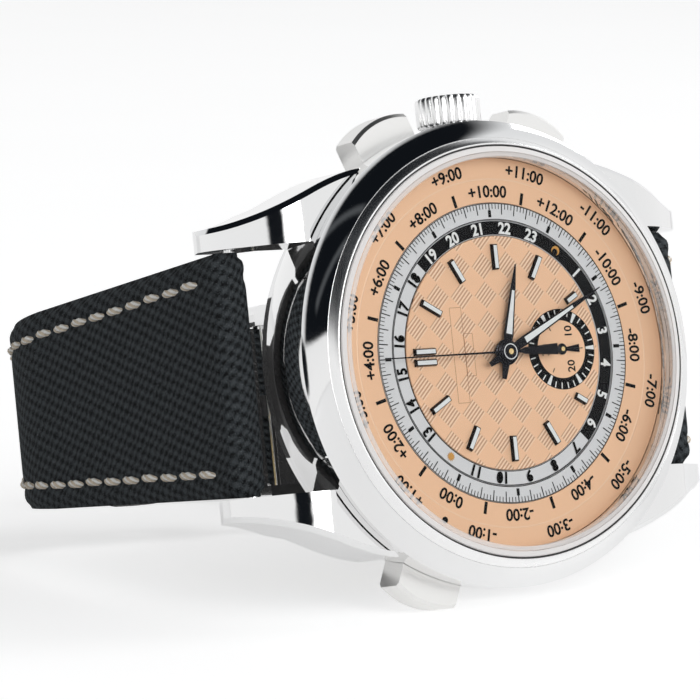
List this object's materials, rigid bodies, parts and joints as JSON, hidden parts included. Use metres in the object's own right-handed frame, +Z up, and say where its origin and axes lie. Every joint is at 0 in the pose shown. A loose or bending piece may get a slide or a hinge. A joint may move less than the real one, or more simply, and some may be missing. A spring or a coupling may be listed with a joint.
{
  "type": "wristwatch",
  "caption": "World time wristwatch with flyback chronograph, turning 24-hour and zone rings, crown, push pieces, display back, rotor and woven strap with buckle",
  "frame": {"origin": "centre of the bounding box's base, on the table that the watch lies on", "axes": "+Z up, the way 3 o'clock points but for the watch's lean; +Y runs from the dial to the strap's far end; +X points to 6 o'clock"},
  "size_m": [0.0746, 0.08, 0.0447],
  "materials": {
    "polished_steel": "mirror polished",
    "satin_steel": "satin",
    "front_sapphire": "clear",
    "back_sapphire": "clear",
    "black_rubber": "matte",
    "salmon_dial": "fine satin",
    "silver_dial": "fine satin",
    "black_dial": "gloss",
    "dark_hands": "polished black with pale inlays",
    "marker_metal": "polished dark sides with pale tops",
    "plated_plate": "striped satin",
    "gilt_wheel": "polished",
    "rotor_metal": "circular satin",
    "ruby": "polished",
    "blued_screw": "polished blue",
    "holder_polymer": "matte",
    "strap_fabric": "woven",
    "strap_lining": "smooth"
  },
  "bodies": {
    "case": {"case_middle": "polished_steel", "bezel": "polished_steel", "front_gasket": "black_rubber", "front_glass": "front_sapphire", "case_back_ring": "satin_steel", "case_back_gasket": "black_rubber", "back_glass": "back_sapphire", "crown_tube": "satin_steel", "flange_ring": "polished_steel", "dial_carrier": "plated_plate", "dial_centre": "salmon_dial", "counter_dial": "black_dial", "hour_markers": "marker_metal", "minute_track": "silver_dial", "movement_holder": "holder_polymer", "main_plate": "plated_plate", "barrel_bridge": "plated_plate", "train_bridge": "plated_plate", "bridge_screws": "blued_screw", "train_jewel": "ruby", "chronograph_bridge": "satin_steel", "balance_cock": "plated_plate", "balance_jewel": "ruby", "rotor_bearing": "satin_steel", "spring_bar_12": "satin_steel", "spring_bar_6": "satin_steel"},
    "day_ring": {"day_ring": "silver_dial"},
    "zone_ring": {"zone_ring": "salmon_dial"},
    "hour_hand": {"hour_hand": "dark_hands"},
    "minute_work": {"minute_hand": "dark_hands", "centre_wheel": "gilt_wheel"},
    "barrel": {"barrel": "gilt_wheel"},
    "third_wheel": {"third_wheel": "gilt_wheel"},
    "seconds_work": {"seconds_hand": "dark_hands", "chronograph_wheel": "gilt_wheel"},
    "counter_work": {"counter_hand": "dark_hands", "counter_wheel": "gilt_wheel"},
    "column_wheel": {"column_wheel": "satin_steel"},
    "ratchet_wheel": {"ratchet_wheel": "satin_steel"},
    "balance_wheel": {"balance_wheel": "gilt_wheel"},
    "rotor": {"rotor": "rotor_metal"},
    "setting_lever": {"setting_lever": "satin_steel"},
    "crown": {"crown": "polished_steel"},
    "start_pusher": {"start_pusher": "polished_steel"},
    "return_pusher": {"return_pusher": "polished_steel"},
    "zone_pusher": {"zone_pusher": "polished_steel"},
    "short_strap": {"short_strap_face": "strap_fabric", "short_strap_lining": "strap_lining", "fixed_keeper": "strap_fabric"},
    "sliding_keeper": {"sliding_keeper": "strap_fabric"},
    "buckle": {"buckle_frame": "polished_steel", "buckle_bar": "satin_steel"},
    "tongue": {"buckle_tongue": "polished_steel"},
    "long_strap": {"long_strap_face": "strap_fabric", "long_strap_lining": "strap_lining"}
  },
  "joints": [
    {"name": "minute_turn", "type": "hinge", "parent": "case", "child": "minute_work", "pos_m": [-0.01189, -0.03475, 0.02241], "axis": [0, 0.9792, -0.2028], "continuous": true},
    {"name": "hour_turn", "type": "hinge", "parent": "case", "child": "hour_hand", "pos_m": [-0.01189, -0.03475, 0.02241], "axis": [0, 0.9792, -0.2028], "continuous": true},
    {"name": "day_ring_turn", "type": "hinge", "parent": "case", "child": "day_ring", "pos_m": [-0.01189, -0.03475, 0.02241], "axis": [0, 0.9792, -0.2028], "continuous": true},
    {"name": "barrel_turn", "type": "hinge", "parent": "case", "child": "barrel", "pos_m": [-0.01818, -0.03144, 0.02406], "axis": [0, 0.9792, -0.2028], "continuous": true},
    {"name": "third_wheel_turn", "type": "hinge", "parent": "case", "child": "third_wheel", "pos_m": [-0.01033, -0.03268, 0.01761], "axis": [0, 0.9792, -0.2028], "continuous": true},
    {"name": "seconds_turn", "type": "hinge", "parent": "case", "child": "seconds_work", "pos_m": [-0.01189, -0.03475, 0.02241], "axis": [0, 0.9792, -0.2028], "continuous": true},
    {"name": "counter_turn", "type": "hinge", "parent": "case", "child": "counter_work", "pos_m": [-0.00569, -0.03475, 0.02241], "axis": [0, 0.9792, -0.2028], "continuous": true},
    {"name": "zone_ring_turn", "type": "hinge", "parent": "case", "child": "zone_ring", "pos_m": [-0.01189, -0.03475, 0.02241], "axis": [0, 0.9792, -0.2028], "continuous": true},
    {"name": "column_wheel_turn", "type": "hinge", "parent": "case", "child": "column_wheel", "pos_m": [-0.00546, -0.03061, 0.01426], "axis": [0, 0.9792, -0.2028], "continuous": true},
    {"name": "balance_swing", "type": "hinge", "parent": "case", "child": "balance_wheel", "pos_m": [-0.00453, -0.02879, 0.02748], "axis": [0, 0.9792, -0.2028], "range_deg": [-140, 140]},
    {"name": "rotor_spin", "type": "hinge", "parent": "case", "child": "rotor", "pos_m": [-0.01189, -0.0274, 0.02089], "axis": [0, 0.9792, -0.2028], "continuous": true},
    {"name": "stem_pull", "type": "slide", "parent": "case", "child": "setting_lever", "axis": [0, 0.2028, 0.9792], "range_m": [0, 0.001]},
    {"name": "crown_turn", "type": "hinge", "parent": "setting_lever", "child": "crown", "pos_m": [-0.01189, -0.02609, 0.04104], "axis": [0, 0.2028, 0.9792], "continuous": true},
    {"name": "ratchet_turn", "type": "hinge", "parent": "case", "child": "ratchet_wheel", "pos_m": [-0.01818, -0.0288, 0.02351], "axis": [0, 0.9792, -0.2028], "continuous": true},
    {"name": "start_press", "type": "slide", "parent": "case", "child": "start_pusher", "axis": [0.3827, -0.1874, -0.9047], "range_m": [0, 0.0008], "stiffness_N_per_m": 2000, "springref_m": -0.001},
    {"name": "return_press", "type": "slide", "parent": "case", "child": "return_pusher", "axis": [-0.3827, -0.1874, -0.9047], "range_m": [0, 0.0008], "stiffness_N_per_m": 2000, "springref_m": -0.001},
    {"name": "zone_press", "type": "slide", "parent": "case", "child": "zone_pusher", "axis": [0.3827, 0.1874, 0.9047], "range_m": [0, 0.0008], "stiffness_N_per_m": 2000, "springref_m": -0.001},
    {"name": "short_strap_swing", "type": "hinge", "parent": "case", "child": "short_strap", "pos_m": [-0.03419, -0.02701, 0.0208], "axis": [0, 0.2028, 0.9792], "range_deg": [-10, 80]},
    {"name": "long_strap_swing", "type": "hinge", "parent": "case", "child": "long_strap", "pos_m": [0.01041, -0.02701, 0.0208], "axis": [0, -0.2028, -0.9792], "range_deg": [-15, 45]},
    {"name": "keeper_slide", "type": "slide", "parent": "short_strap", "child": "sliding_keeper", "axis": [0.9994, -0.0342, 0.0071], "range_m": [0, 0.003]},
    {"name": "buckle_swing", "type": "hinge", "parent": "short_strap", "child": "buckle", "pos_m": [-0.00298, 0.01649, 0.0118], "axis": [0, 0.2028, 0.9792], "range_deg": [-60, 20]},
    {"name": "tongue_lift", "type": "hinge", "parent": "buckle", "child": "tongue", "pos_m": [-0.00298, 0.01649, 0.0118], "axis": [0, 0.2028, 0.9792], "range_deg": [0, 70]}
  ],
  "couplings": [
    {"joint": "hour_turn", "follows": "minute_turn", "ratio": 0.083333},
    {"joint": "day_ring_turn", "follows": "minute_turn", "ratio": -0.041667},
    {"joint": "barrel_turn", "follows": "minute_turn", "ratio": -0.16667},
    {"joint": "third_wheel_turn", "follows": "minute_turn", "ratio": -8},
    {"joint": "counter_turn", "follows": "seconds_turn", "ratio": 0.033333},
    {"joint": "ratchet_turn", "follows": "crown_turn", "ratio": 0.33333}
  ]
}
